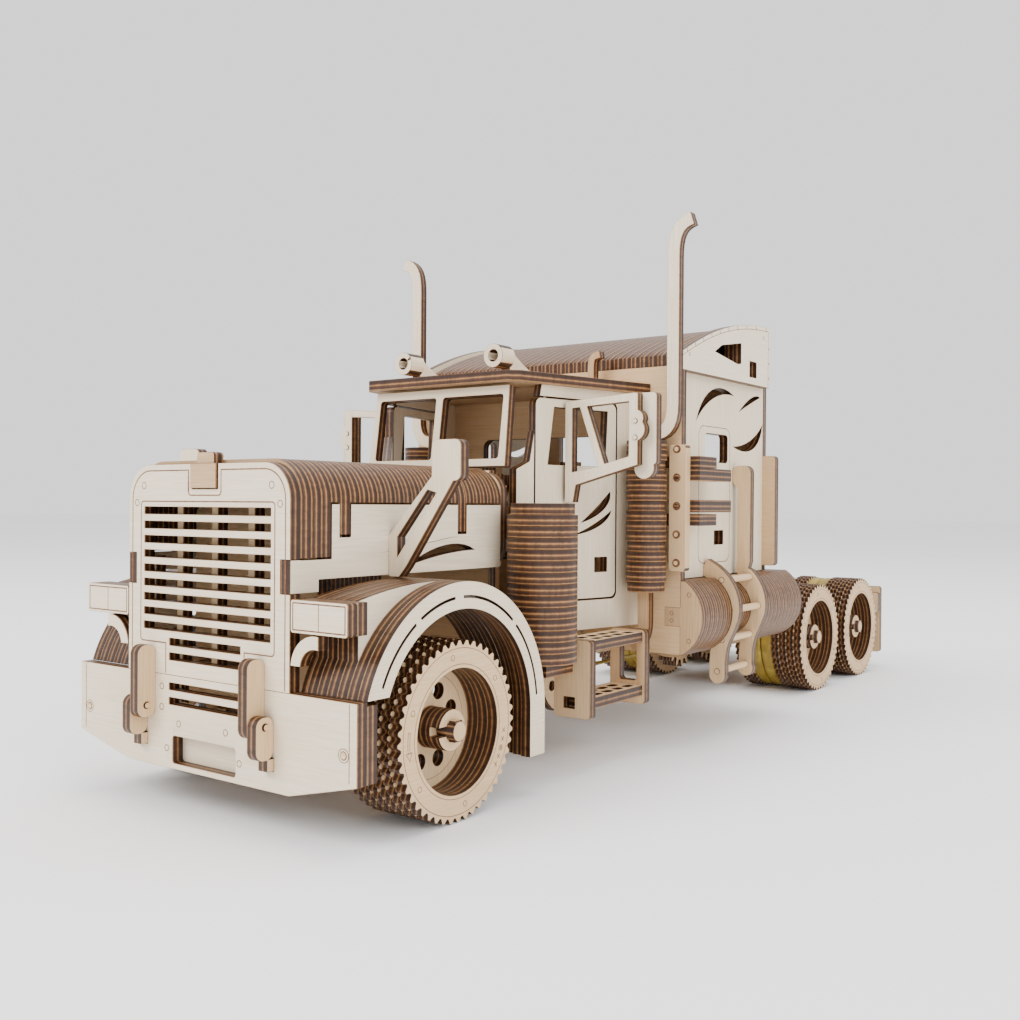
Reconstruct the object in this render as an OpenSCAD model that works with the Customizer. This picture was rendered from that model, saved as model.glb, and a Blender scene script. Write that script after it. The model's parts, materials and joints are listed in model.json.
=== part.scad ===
// Wooden puzzle model of a long-nosed highway tractor, cut from thin plywood.
// Front of the truck faces -Y, its left side is +X, +Z is up, wheels stand on Z = 0.

/* [Sheet] */
// Thickness of the plywood sheet
ply = 3.3; // [2.7:0.05:4]
// Air left between neighbouring laminae
lam_gap = 0.1; // [0.05:0.05:0.3]
// Radial play of every turning pin
pin_play = 0.08; // [0.03:0.01:0.1]
// Air round a moving panel
panel_gap = 0.5; // [0.3:0.1:0.8]

/* [Overall] */
// Length from the bumper face to the end of the frame
truck_l = 378; // [360:1:455]
// Half width over the fenders and bumper
fender_x = 53.6; // [50:0.1:66]
// Half width over the sleeper caps
sleeper_x = 57.3; // [55:0.1:70]
// Half width over the ladders
ladder_x = 67.6; // [64:0.1:82]
// Height of the sleeper roof at the back
roof_top = 148; // [145:1:180]
// Height of the exhaust stacks
stack_top = 175.7; // [160:1:212]

/* [Wheels] */
// Tyre radius over the tread
wheel_r = 23; // [19:0.1:24.5]
// Number of tread teeth
tread_teeth = 48; // [36:2:60]
// Radius of the open rim
rim_r = 15.9; // [13:0.1:17]
// Laminae in a front tyre
front_plies = 6; // [5:1:6]
// Laminae in a twin rear tyre
rear_plies = 9; // [8:1:9]
// Radius of the wheel shafts
shaft_r = 2.5; // [2:0.1:3]
// Distance from the bumper face to the front axle
front_axle = 37.9; // [37:0.1:44]
// Distance between the two rear axles
axle_spacing = 53.4; // [50:0.1:64]
// Distance from the frame end back to the last axle
rear_overhang = 35; // [30:0.5:45]
// Distance of the kingpins from the middle
kingpin_x = 33; // [31:0.1:35]

/* [Nose] */
// Half width of the hood and grille
hood_x = 31.5; // [30:0.1:33]
// Height of the grille top
grille_top = 90; // [86:0.5:96]
// Height of the bumper top
bumper_top = 35.4; // [34:0.1:38]
// Height where the hood cover sits on its side panels
hood_seam = 80.4; // [77:0.1:82]
// Length of the hood
hood_l = 79.2; // [72:0.1:82]
// Number of grille rows above the bumper
grille_rows = 11; // [9:1:11]

/* [Cab] */
// Half width at the cowl
cab_front_x = 29.4; // [28:0.1:31]
// Half width at the sleeper wall
cab_rear_x = 42; // [40:0.1:44]
// Distance from the cowl to the sleeper wall
cab_l = 56; // [53:0.1:60]
// Underside of the cab roof
cab_roof_z = 117.6; // [114:0.1:121]
// Bottom edge of the cab sides
cab_sill = 40; // [38:0.1:42]

/* [Sleeper] */
// Distance from the frame end to the sleeper's front wall
sleeper_back = 231; // [225:0.5:280]
// Length of the sleeper side
sleeper_l = 70; // [64:0.5:84]
// Bottom edge of the sleeper sides
sleeper_sill = 55.5; // [54:0.1:58]
// Bottom edge of the roof caps
cap_sill = 125.2; // [121:0.1:128]

/* [Side gear] */
// Radius of the fuel tanks
tank_r = 14.1; // [12:0.1:15]
// Radius of the air cleaners
cleaner_r = 10.3; // [8.5:0.1:11]
// Radius of the mufflers
muffler_r = 6.6; // [5.5:0.1:7]

/* [Drive] */
// Teeth of each spur gear
gear_teeth = 18; // [17:1:22]
// Module of the spur gears
gear_module = 1.5; // [1.25:0.05:1.6]

/* [Hidden] */
$fn = 48;

// --- places worked out from the driving dimensions ---
front_y = -truck_l / 2;
back_y = truck_l / 2;
axle_f = front_y + front_axle;
axle_b = back_y - rear_overhang;
axle_a = axle_b - axle_spacing;
axle_z = wheel_r;
wall_y = back_y - sleeper_back;
side_x = sleeper_x - ply;
cowl_y = wall_y - cab_l;
hood_y0 = front_y + ply;
hood_y1 = hood_y0 + hood_l;
hood_lams = floor(hood_l / ply);
taper = atan((cab_rear_x - cab_front_x) / cab_l);
rail_x = 14.5;
rail_z0 = 27;
rail_z1 = 39;
lug_r = 7;
kingpin_r = 1.5;
bore = shaft_r + pin_play;
fender_r = 36.2;
fender_in = 29.2;
fender_z = wheel_r + 1.7;
fender_lams = 5;
fender_leg = 11.2;
lamp_z0 = 49.8;
lamp_z1 = 57.6;
cleaner_x = cab_front_x + cleaner_r + 4.4;
cleaner_y = cowl_y - 5;
muffler_x = cab_rear_x + muffler_r;
muffler_y = wall_y - muffler_r - 1;
muffler_z = 52;
muffler_lams = 15;
muffler_top = muffler_z + muffler_lams * ply;
step_x0 = fender_x - 12.3;
step_y0 = cowl_y + 6.4;
step_y1 = wall_y - 17;
tank_x = side_x - 2.8;
tank_z = sleeper_sill - 12.1;
tank_y1 = wall_y + 88;
rail_slot = [6, 13];
ladder_y = [for (k = rail_slot) wall_y + ply + lam_gap + k * ply];
gear_gap = gear_module * gear_teeth;
end_reach = 5.5;
motor_y = axle_a - gear_gap;
winder_y = wall_y - 16;
fifth_y = (axle_a + axle_b) / 2;
fifth_z = 53;

// --- shared shapes ---
module both() {
  children();
  mirror([1, 0, 0]) children();
}

// sheet standing across the truck, outline in X and Z
module across(y, t = ply) translate([0, y + t, 0]) rotate([90, 0, 0]) linear_extrude(t) children();

// sheet standing along the truck, outline in Y and Z
module along(x, t = ply) translate([x, 0, 0]) rotate([90, 0, 90]) linear_extrude(t) children();

// sheet lying flat, outline in X and Y
module flat(z, t = ply) translate([0, 0, z]) linear_extrude(t) children();

module box2(x0, x1, z0, z1) translate([x0, z0]) square([x1 - x0, z1 - z0]);

module round2(x0, x1, z0, z1, r) {
  box2(x0 + r, x1 - r, z0, z1);
  box2(x0, x1, z0 + r, z1 - r);
  for (x = [x0 + r, x1 - r], z = [z0 + r, z1 - r]) translate([x, z]) circle(r);
}

module disc2(x, z, r) translate([x, z]) circle(r);

module pie2(a0, a1, r) polygon(concat([[0, 0]], [for (i = [0:8]) r * dir(a0 + (a1 - a0) * i / 8)]));

function dir(a) = [cos(a), sin(a)];

function bez(p, t) = pow(1 - t, 3) * p[0] + 3 * t * pow(1 - t, 2) * p[1]
  + 3 * t * t * (1 - t) * p[2] + t * t * t * p[3];

function curve(p, n = 10) = [for (i = [0:n]) bez(p, i / n)];

function side(a, b, w) = let (d = (b - a) / norm(b - a)) [-d[1], d[0]] * w / 2;

// outline of a strip of even width that follows a line of points
function strip(p, w) = let (n = len(p) - 1) concat(
  [for (i = [0:n]) p[i] + side(p[max(i - 1, 0)], p[min(i + 1, n)], w)],
  [for (i = [n:-1:0]) p[i] - side(p[max(i - 1, 0)], p[min(i + 1, n)], w)]);

// leaf-shaped flame cut with both tips at the given points
module flame2(a, b, bulge, thin) polygon(concat(
  curve([a, a + (b - a) * 0.3 + bulge, a + (b - a) * 0.7 + bulge, b]),
  curve([b, a + (b - a) * 0.7 + bulge * thin, a + (b - a) * 0.3 + bulge * thin, a])));

// --- chassis ---
module rail2() difference() {
  union() {
    box2(front_y + 2 * ply, back_y, rail_z0, rail_z1);
    for (y = [winder_y, motor_y, axle_a, axle_b]) {
      disc2(y, axle_z, lug_r);
      box2(y - lug_r, y + lug_r, axle_z, rail_z1);
    }
  }
  for (y = [winder_y, motor_y, axle_a, axle_b]) disc2(y, axle_z, bore);
}

module chassis_rails() color("burlywood") both() along(rail_x) rail2();

member_y = [front_y + 3 * ply, axle_f + 22, cowl_y + 14, winder_y + 14, wall_y + 24,
  wall_y + 62, fifth_y - ply / 2, back_y - 2 * ply];

module cross_members() color("tan")
  for (y = member_y) across(y) box2(-rail_x, rail_x, rail_z0 + 3, rail_z1 - 1);

// --- front end ---
row_h = 1.95;
row_pitch = 3.78;
grille_open = 24.8;
grille_z1 = grille_top - 11;
low_open = 15.2;
notch_z = [58.6, 66.8];
wide_rows = 9;

module rows2(i0, i1, w) for (i = [i0:i1])
  box2(-w, w, grille_z1 - i * row_pitch - row_h, grille_z1 - i * row_pitch);

module front_bumper() color("blanchedalmond") {
  across(front_y) difference() {
    polygon([[-fender_x, bumper_top], [-fender_x, 16.5], [-hood_x, 11.2],
      [hood_x, 11.2], [fender_x, 16.5], [fender_x, bumper_top]]);
    for (i = [0:1]) box2(-14, 14, bumper_top - 3.9 - i * row_pitch, bumper_top - 2 - i * row_pitch);
    round2(-12.4, 12.4, 12.7, 19.8, 0.8);
    for (s = [-1, 1]) translate([s * 24.6, 17.9]) square([3.5, 3.2], center = true);
  }
  both() across(front_y + ply + lam_gap, ply - lam_gap) polygon([[fender_x - 4, bumper_top - 1],
    [fender_x - 4, 17.2], [fender_x, 16.5], [fender_x, bumper_top - 1]]);
}

module number_plate() color("cornsilk")
  across(front_y + ply, ply) box2(-rail_x, rail_x, 12, 21);

guard_x = 19.7;

module bumper_guards() color("tan") both() {
  along(guard_x, ply - lam_gap) difference() {
    union() {
      round2(front_y - end_reach, front_y, 24, 43, 2.4);
      box2(front_y - 2.6, front_y, 38, 40.6);
    }
    disc2(front_y - 2.7, 27.2, 0.9);
  }
  along(guard_x + ply, ply - lam_gap) difference() {
    union() {
      round2(front_y - end_reach, front_y, 19.2, 29.6, 2.4);
      box2(front_y - 2, front_y + ply, 16.4, 19.4);
    }
    disc2(front_y - 2.7, 27.2, 0.9);
  }
  translate([guard_x - 0.4, front_y - 2.7, 27.2]) rotate([0, 90, 0]) cylinder(h = 2 * ply + 0.8, r = 0.8);
}

module grille_surround() color("blanchedalmond") across(front_y) difference() {
  union() {
    box2(-hood_x, hood_x, bumper_top, grille_top - 9);
    box2(-hood_x + 9, hood_x - 9, grille_top - 9, grille_top);
    for (s = [-1, 1]) disc2(s * (hood_x - 9), grille_top - 9, 9);
  }
  for (s = [-1, 1]) box2(s * hood_x - ply - 0.1, s * hood_x + ply + 0.1, notch_z[0], notch_z[1]);
  rows2(0, wide_rows - 1, grille_open);
  rows2(wide_rows, grille_rows - 1, low_open - 1.2);
  box2(-5.2, 5.2, grille_top - 6.4, grille_top + 1);
}

module grille_bars() color("wheat") across(front_y + ply, ply - lam_gap) {
  for (x = [-14, 0, 14]) box2(x - 1.2, x + 1.2, bumper_top + 1, grille_z1 + 3);
  box2(-grille_open, grille_open, grille_z1 + 1.5, grille_z1 + 4);
  box2(-hood_x + ply + 0.2, -grille_open + 0.5, 52, nose_tab - 1.2);
  box2(grille_open - 0.5, hood_x - ply - 0.2, 52, nose_tab - 1.2);
}

module radiator_cap() color("saddlebrown") {
  across(front_y - 0.6, ply + 0.5) box2(-5, 5, grille_top - 6.2, grille_top);
  across(front_y + 0.2, ply - 0.3) round2(-3.4, 3.4, grille_top - 1, grille_top + 2.9, 1);
}

module headlights() color("blanchedalmond") both() {
  across(front_y, ply - lam_gap) round2(hood_x + 0.3, 50.4, lamp_z0, lamp_z1, 0.7);
  across(front_y + ply, ply - lam_gap) box2(hood_x + 0.3, 50.4, lamp_z0 + 0.2, lamp_z1);
  across(front_y, ply - lam_gap) intersection() {
    difference() {
      disc2(hood_x + 8.3, 41.5, 8);
      disc2(hood_x + 8.3, 41.5, 4.8);
    }
    box2(hood_x + 0.3, hood_x + 9.5, 42, lamp_z0 - 0.1);
  }
}

// --- fenders ---
module arch_band2(r0, r1) {
  difference() {
    disc2(axle_f, fender_z, r1);
    disc2(axle_f, fender_z, r0);
    box2(axle_f - r1 - 1, axle_f, fender_z - r1 - 1, bumper_top);
    box2(axle_f - 1, axle_f + r1 + 1, fender_z - r1 - 1, fender_z);
  }
  box2(axle_f + r0, axle_f + r1, fender_leg, fender_z);
}

module arch_slot2() intersection() {
  difference() {
    disc2(axle_f, fender_z, 32.6);
    disc2(axle_f, fender_z, 32);
  }
  translate([axle_f, fender_z]) for (a = [6, 50, 96, 124])
    pie2(a, a + (a > 100 ? 32 : a > 90 ? 24 : 40), 60);
}

module nose_block2() difference() {
  union() {
    arch_band2(fender_in + 1.6, fender_r);
    polygon(concat([[front_y + 2 * ply + 0.4, 43.4], [front_y + 2 * ply + 0.4, lamp_z1]],
      curve([[front_y + 2 * ply + 0.4, lamp_z1], [axle_f - 20, lamp_z1 + 2.4],
        [axle_f - 12, fender_z + fender_r], [axle_f, fender_z + fender_r]], 6), [[axle_f, 43.4]]));
  }
  disc2(axle_f, fender_z, fender_in + 1.6);
}

module fender() {
  along(fender_x - ply, ply - lam_gap) difference() {
    arch_band2(fender_in, fender_r);
    arch_slot2();
  }
  along(fender_x - 2 * ply, ply - lam_gap) arch_band2(fender_in + 0.8, fender_r);
  for (i = [0:fender_lams - 2]) along(fender_x - (3 + i) * ply, ply - lam_gap) nose_block2();
  along(hood_x + 0.3, fender_x - (fender_lams + 1) * ply - lam_gap - hood_x - 0.3) nose_block2();
}

module fender_left() color("moccasin") fender();

module fender_right() color("moccasin") mirror([1, 0, 0]) fender();

// --- hood ---
tab_at = [4, 18];
hood_foot = fender_z + fender_r + 0.8;
nose_tab = 67;
hood_pin = [-hood_x + ply / 2, hood_seam - 4.4];
hood_pin_r = 1;

module hood_panel2() difference() {
  union() {
    box2(hood_y0 + 0.1, hood_y1 - 0.2, hood_foot, hood_seam - 0.4);
    box2(front_y + 0.1, hood_y0 + 6, notch_z[0] + 0.1, notch_z[1] - 0.1);
  }
  box2(hood_y0, hood_y0 + 3 * ply + 0.3, nose_tab - 0.4, hood_seam + 1);
  for (i = tab_at)
    box2(hood_y0 + i * ply - 0.3, hood_y0 + (i + 1) * ply + 0.3, hood_seam - 8.6, hood_seam + 1);
  flame2([front_y + 24, 66.6], [front_y + 64, 71.4], [4, 0.5], 0.2);
  flame2([front_y + 41, 63.6], [front_y + 70, 67.2], [2, 4.6], 0.25);
}

// pins of the hood hinge, in line along the right side
module hood_pins(reach, r) for (i = tab_at)
  translate([hood_pin[0], hood_y0 + i * ply - reach, hood_pin[1]]) rotate([-90, 0, 0])
    cylinder(h = ply + 2 * reach, r = r);

module hood_sides() color("ivory") difference() {
  both() along(hood_x - ply) hood_panel2();
  hood_pins(4.2, hood_pin_r + pin_play);
}

module hood_arch2(foot) difference() {
  union() {
    box2(-hood_x, hood_x, foot, grille_top - 9);
    box2(-hood_x + 10, hood_x - 10, grille_top - 9, grille_top + 1);
    for (s = [-1, 1]) disc2(s * (hood_x - 10), grille_top - 9, 10);
  }
  box2(-hood_x + ply, hood_x - ply, foot - 1, grille_top - 9);
  box2(-hood_x + 10, hood_x - 10, foot - 1, grille_top - 2.6);
  for (s = [-1, 1]) disc2(s * (hood_x - 10), grille_top - 9, 6.5);
  box2(-hood_x - 1, hood_x + 1, foot - 20, foot);
}

function is_tab(i) = len([for (k = tab_at) if (k == i) 1]) > 0;
function arch_foot(i) = i < 3 ? nose_tab : is_tab(i) ? hood_seam - 8 : hood_seam;

module hood_cover() color("saddlebrown") {
  for (i = [0:hood_lams - 1]) across(hood_y0 + i * ply + lam_gap, ply - lam_gap) hood_arch2(arch_foot(i));
  hood_pins(4, hood_pin_r);
}

module engine_block() color("tan") {
  for (i = [0:7]) across(axle_f - 12 + i * ply, ply - lam_gap) box2(-12, 12, rail_z1, 60 + (i % 2) * 4);
  across(axle_f - 16) round2(-11, 11, rail_z1, 62, 4);
  across(front_y + 16) round2(-24, 24, rail_z1, 79, 2);
}

// --- cab ---
module firewall() color("tan") {
  across(cowl_y - 5.4) box2(-cab_front_x + ply + 1.3, cab_front_x - ply - 1.3, rail_z1, 90.5);
  across(hood_y1 + 0.1, ply - 0.2) round2(-hood_x + 0.2, hood_x - 0.2, hood_foot, grille_top - 0.4, 6);
}

screen_tilt = atan(3.4 / 24.7);
screen_z = 91.8;

module windshield_frame() color("cornsilk")
  translate([0, cowl_y - 2.4, screen_z]) rotate([-screen_tilt, 0, 0]) across(0) difference() {
    polygon([[-28.2, 0], [28.2, 0], [27.4, cab_roof_z - screen_z - 0.6],
      [-27.4, cab_roof_z - screen_z - 0.6]]);
    for (s = [-1, 1]) translate([s * 13.4, 0]) round2(-12, 12, 2.4, cab_roof_z - screen_z - 3.4, 1);
  }

// cab side outline: first value runs along the slanted side, zero at the sleeper wall
cab_s = -cab_l / cos(taper);
door_s = [cab_s + 9.4, -12.1];
door_z = [50, 113.4];

module on_side() translate([cab_rear_x, wall_y, 0]) rotate([0, 0, -taper]) children();

module door2(grow) round2(door_s[0] - grow, door_s[1] + grow, door_z[0] - grow, door_z[1] + grow, 2.2);

module cab_side2() difference() {
  polygon([[-ply * tan(taper) - 0.1, cab_sill], [-ply * tan(taper) - 0.1, cab_roof_z],
    [cab_s + 11.8, cab_roof_z], [cab_s + 7, 93.5], [cab_s + 1.6, 91], [cab_s + 1.6, cab_sill + 4], [cab_s + 6, cab_sill]]);
  door2(panel_gap);
}

// pins of a door hinge, above and below the door
hinge_s = door_s[0] + 4.5;
hinge_r = 0.9;

module door_pins(reach, r) {
  translate([-ply / 2, hinge_s, door_z[0] - reach]) cylinder(h = reach + 1, r = r);
  translate([-ply / 2, hinge_s, door_z[1] - 1]) cylinder(h = reach, r = r);
}

module cab_sides() color("ivory") both() on_side() difference() {
  along(-ply) cab_side2();
  door_pins(3.7, hinge_r + pin_play);
}

module door_panel() {
  door_pins(3.5, hinge_r);
  along(-ply) door_panel2();
}

module door_panel2() difference() {
  door2(0);
  polygon([[door_s[0] + 5.2, 92.7], [door_s[0] + 7.8, 110.8], [door_s[1] - 4, 110.8],
    [door_s[1] - 5, 92.7]]);
  box2(door_s[1] - 9.7, door_s[1] - 3.9, 58.4, 63.2);
  flame2([door_s[0] + 20, 74.5], [door_s[1] - 2.6, 84.6], [5, -1], 0.1);
  flame2([door_s[0] + 17, 70.6], [door_s[1] - 2, 78.4], [4, -1.4], 0.3);
}

module door_left() color("ivory") on_side() door_panel();

module door_right() color("ivory") mirror([1, 0, 0]) on_side() door_panel();

mirror_y = cowl_y + 23.4;
mirror_x = cab_front_x + (mirror_y - cowl_y) * tan(taper) + 0.5;

module door_mirror() {
  across(mirror_y - ply, ply - lam_gap) difference() {
    union() {
      polygon([[mirror_x, 81], [mirror_x + 3, 81], [mirror_x + 4, 86.4], [mirror_x + 26, 92.4],
        [mirror_x + 26, 114], [mirror_x + 25, 114.2], [mirror_x, 112.6]]);
      disc2(mirror_x + 25, 103, 3.4);
      disc2(mirror_x + 25.3, 106.4, 2.6);
    }
    polygon([[mirror_x + 2.6, 90.4], [mirror_x + 2.6, 110.4], [mirror_x + 5.4, 110.6],
      [mirror_x + 12, 92]]);
    polygon([[mirror_x + 8, 110.8], [mirror_x + 23, 111.6], [mirror_x + 23, 95],
      [mirror_x + 14.4, 92.8]]);
    for (z = [100.6, 105.6]) disc2(mirror_x + 25.2, z, 0.8);
  }
  across(mirror_y + lam_gap, ply - lam_gap) {
    round2(mirror_x + 24.6, mirror_x + 30.6, 92.5, 114.4, 1.2);
    disc2(mirror_x + 26.4, 91.6, 3.4);
  }
  for (z = [100.6, 105.6]) translate([mirror_x + 25.2, mirror_y - ply - 0.3, z]) rotate([-90, 0, 0])
    cylinder(h = ply + 0.3, r = 0.75);
}

module door_mirror_left() color("bisque") door_mirror();

module door_mirror_right() color("bisque") mirror([1, 0, 0]) door_mirror();

module cab_roof() color("saddlebrown") flat(cab_roof_z, ply) difference() {
  polygon([[-cab_front_x + 1.1, cowl_y - 2.2], [cab_front_x - 1.1, cowl_y - 2.2],
    [cab_front_x + 2.2, cowl_y + 1.2], [cab_rear_x + 3.6, wall_y],
    [-cab_rear_x - 3.6, wall_y], [-cab_front_x - 2.2, cowl_y + 1.2]]);
  for (s = [-1, 1]) translate([s * 18.7, cowl_y + 13]) square([ply + 0.02, 8], center = true);
}

module cab_floor() color("tan") flat(cab_sill + 1, ply)
  polygon([[-cab_front_x + 4.6, cowl_y - 2], [cab_front_x - 4.6, cowl_y - 2],
    [cab_rear_x - 4, wall_y - 0.1], [-cab_rear_x + 4, wall_y - 0.1]]);

module seat(x) translate([x, wall_y - 24, 0]) {
  for (i = [-2:1]) along(i * ply + 0.1, ply - lam_gap) {
    box2(0, 15, cab_sill + 1 + ply, cab_sill + 18);
    polygon([[11, cab_sill + 18], [16, cab_sill + 18], [20, cab_sill + 46], [16, cab_sill + 46]]);
  }
  for (i = [-1:0]) along(i * ply + 0.1, ply - lam_gap) polygon([[16, cab_sill + 46], [20, cab_sill + 46],
    [21, cab_sill + 55], [17, cab_sill + 55]]);
}

module seats() color("peru") both() seat(17);

wheel_at = [0, cowl_y + 15.4, 80];
column_tilt = 35;
column_x = 14;

module dashboard() color("burlywood") {
  across(cowl_y - 2) box2(-cab_front_x + ply + 1, cab_front_x - ply - 1, 70, 89.5);
  flat(86, ply) translate([0, cowl_y + ply - 2]) box2(-24, 24, 0, 6);
  difference() {
    translate([column_x, wheel_at[1], wheel_at[2]]) rotate([90 - column_tilt, 0, 0])
      translate([0, 0, 3]) cylinder(h = 10.5, r = 3.4);
    translate([column_x, wheel_at[1], wheel_at[2]]) rotate([90 - column_tilt, 0, 0])
      translate([0, 0, 2]) cylinder(h = 14, r = 1.5 + pin_play);
  }
}

module steering_wheel() color("saddlebrown")
  translate([column_x, wheel_at[1], wheel_at[2]]) rotate([90 - column_tilt, 0, 0]) {
    difference() {
      cylinder(h = 2.4, r = 8.4);
      translate([0, 0, -1]) cylinder(h = 5, r = 6.6);
    }
    cylinder(h = 2.4, r = 2.2);
    for (a = [90, 210, 330]) rotate([0, 0, a]) translate([1.5, -0.8, 0.2]) cube([5.6, 1.6, 2]);
    cylinder(h = 9, r = 1.5);
  }

module roof_horns() color("blanchedalmond") both() {
  translate([18.7, cowl_y + 3, 0]) rotate([90, 0, 0]) translate([0, cab_roof_z + ply + 5.7, -2 * ply - 1])
    difference() {
      cylinder(h = 2 * ply, r = 3.7);
      translate([0, 0, -1]) cylinder(h = 3 * ply, r = 1.9);
    }
  along(18.7 - ply / 2, ply) polygon(concat(curve([[cowl_y + 4 + 2 * ply, cab_roof_z + ply + 8.4],
    [cowl_y + 18, cab_roof_z + ply + 4], [cowl_y + 22, cab_roof_z + ply + 1],
    [cowl_y + 34, cab_roof_z + ply]], 8),
    [[cowl_y + 17, cab_roof_z + ply], [cowl_y + 17, cab_roof_z], [cowl_y + 9, cab_roof_z],
      [cowl_y + 9, cab_roof_z + ply], [cowl_y + 4 + 2 * ply, cab_roof_z + ply]]));
}

module roof_hook() color("chocolate") translate([0, 0, cab_roof_z + ply]) across(wall_y - 6.6)
  polygon(strip(concat([[26, 0]], curve([[26, 6], [26, 10], [27, 10], [29.5, 10.5]], 6)), 2.4));

// --- sleeper ---
module sleeper_front_wall() color("burlywood") across(wall_y) difference() {
  union() {
    box2(-sleeper_x, sleeper_x, tank_z - 12.6, cap_sill);
    box2(-side_x, side_x, cap_sill - 1, cap_sill + 1.4);
  }
  box2(-20, 20, tank_z - 13, rail_z1);
  round2(-25, 25, 60, 104, 3);
  for (s = [-1, 1]) translate([s * sleeper_x, tank_z]) square([11.2, 6.2], center = true);
}

// top edge of the sleeper, from its front wall to the back
crown = [[wall_y + 0.6, roof_top - 16.6], [wall_y + 20, roof_top - 8], [wall_y + 40, roof_top - 0.4],
  [wall_y + sleeper_l + 2.8, roof_top]];

module under_crown2(drop, z0, y0, y1) polygon(concat([[y1, z0], [y0, z0], [y0, crown[0][1] - drop]],
  [for (p = curve(crown, 14)) if (p[0] > y0 && p[0] < y1) [p[0], p[1] - drop]],
    [[y1, crown[3][1] - drop]]));

sleeper_y1 = wall_y + ply + sleeper_l;

module roof_window2() polygon([[wall_y + 24.6, cap_sill + 8.6], [wall_y + 30, cap_sill + 11.4],
  [wall_y + 46, cap_sill + 14], [wall_y + 46, cap_sill + 6.6], [wall_y + 43, cap_sill + 6.2]]);

module sleeper_sides() color("ivory") both() along(side_x - ply) difference() {
  union() {
    box2(wall_y + ply, sleeper_y1, sleeper_sill, cap_sill);
    under_crown2(6.5, cap_sill - 3, wall_y + ply, sleeper_y1);
  }
  roof_window2();
  round2(wall_y + 23.9, wall_y + 42.2, 95.6, 105.6, 1.6);
  box2(wall_y + 31.6, wall_y + 39, 66.4, 71.4);
  flame2([wall_y + 17, 109.4], [wall_y + 47, 120.4], [-4, 8], 0.55);
  flame2([wall_y + 51.8, 115], [wall_y + 70.5, 121.6], [2, 3.4], 0.1);
  flame2([wall_y + 46.7, 101.8], [wall_y + 73, 111.4], [6, -6.5], 0.4);
}

module sleeper_caps() color("ivory") both() along(side_x, ply) difference() {
  under_crown2(0, cap_sill, wall_y, wall_y + ply + sleeper_l - 1.5);
  roof_window2();
  box2(wall_y + 53.4, wall_y + 59.6, cap_sill + 2.6, cap_sill + 8.4);
}

module rib2() difference() {
  under_crown2(1, cap_sill + 1.6, wall_y + 1.5, sleeper_y1);
  under_crown2(6.3, cap_sill - 1, wall_y + 7, sleeper_y1 - 4);
}

module sleeper_roof() color("sienna") for (i = [0:rib_n - 1])
  along(-side_x + ply + lam_gap + i * rib_pitch, rib_pitch - lam_gap) rib2();

rib_n = floor((2 * side_x - 2 * ply) / ply);
rib_pitch = (2 * side_x - 2 * ply - lam_gap) / rib_n;

module sleeper_rear_wall() color("burlywood") across(sleeper_y1, ply) difference() {
  union() {
    box2(-side_x, side_x, sleeper_sill, roof_top - 1.5);
    for (s = [-1, 1]) translate([s * (side_x + 1), 0]) round2(-4.2, 4.2, 57.4, 99.4, 1.4);
  }
  for (s = [-1, 1]) round2(s * 26 - 14, s * 26 + 14, 92, 112, 2.5);
}

module sleeper_bunk() color("tan") {
  flat(sleeper_sill + 4, ply) box2(-side_x + ply, side_x - ply, wall_y + ply, sleeper_y1);
  flat(rail_z1 + 0.4, ply) box2(-36, 36, wall_y + ply, sleeper_y1);
  for (s = [-1, 1]) along(s * 30 - ply / 2, ply)
    box2(wall_y + ply + 2, sleeper_y1 - 2, rail_z1 + 0.4 + ply, sleeper_sill + 4);
}

module post_rails() color("tan") both() {
  across(wall_y - ply, ply) difference() {
    round2(side_x + 0.6, side_x + 6.6, 58.6, 100.2, 1.2);
    for (i = [0:4]) disc2(side_x + 3.4, 61.4 + i * 9.3, 0.9);
  }
  for (i = [0:4]) translate([side_x + 3.4, wall_y - ply - 0.5, 61.4 + i * 9.3]) rotate([-90, 0, 0])
    cylinder(h = ply + 0.5, r = 0.8);
  for (k = [0:1]) {
    along(side_x + ply + 0.1, 2 * ply) box2(wall_y, wall_y + 12.6, 92.6 - k * 19, 96.4 - k * 19);
    along(side_x + ply + 0.1, 2 * ply) box2(wall_y, wall_y + 24, 88.4 - k * 10.4, 92.5 - k * 10.4);
  }
}

// --- parts on the sides ---
module air_cleaners() color("sienna") both() translate([cleaner_x, cleaner_y, 0]) {
  for (i = [0:13]) translate([0, 0, 34.5 + i * ply]) cylinder(h = ply - lam_gap,
    r = cleaner_r - (i == 13 ? 0.9 : 0));
  translate([-cleaner_r - 3.6, -4, 30.4]) cube([cleaner_r + 8, 14, ply + 0.7]);
  for (z = [40, 70]) translate([-cleaner_r - 6, 0.5, z]) cube([6.5, ply, 6]);
}

module mufflers() color("sienna") both() {
  for (i = [0:muffler_lams - 1]) translate([muffler_x, muffler_y, muffler_z + i * ply])
    cylinder(h = ply - lam_gap, r = muffler_r - (i % 4 == 0 ? 0.5 : 0));
  translate([muffler_x, 0, muffler_z]) across(muffler_y - ply / 2)
    polygon(strip(concat([[0, -0.1]], curve([[0, -10], [0, -14], [-1, -16.5], [-4.5, -18.5]], 6)), 4));
  translate([cab_rear_x + 1, muffler_y, 60]) cube([3, wall_y - muffler_y, 5]);
  translate([cab_rear_x + 1, muffler_y, 86]) cube([3, wall_y - muffler_y, 5]);
}

stack_x = fender_x + 2;

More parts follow.
